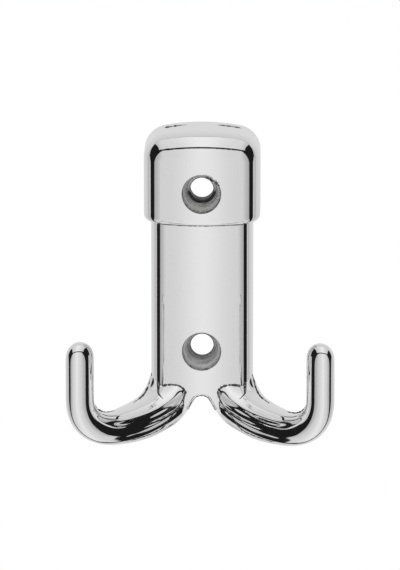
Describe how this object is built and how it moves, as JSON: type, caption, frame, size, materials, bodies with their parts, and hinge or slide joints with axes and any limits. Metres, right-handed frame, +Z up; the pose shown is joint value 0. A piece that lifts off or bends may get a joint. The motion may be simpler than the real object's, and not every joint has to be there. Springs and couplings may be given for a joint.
{
  "type": "double coat hook",
  "caption": "Small chrome-plated double wall hook: stepped block head, convex shank, two sunk screw holes and two upturned arms with domed tips.",
  "frame": {"origin": "on the wall plane, in the middle plane of the hook, midway between the two screw axes", "axes": "+X to the right seen from the front, +Y into the wall, so the hook stands out on the -Y side, +Z up"},
  "size_m": [0.0522, 0.0272, 0.0604],
  "materials": {
    "chromed_zinc": "bright chrome plate on polished zinc die casting"
  },
  "bodies": {
    "root": {"head_block": "chromed_zinc", "shank": "chromed_zinc", "left_hook": "chromed_zinc", "right_hook": "chromed_zinc"}
  },
  "joints": []
}
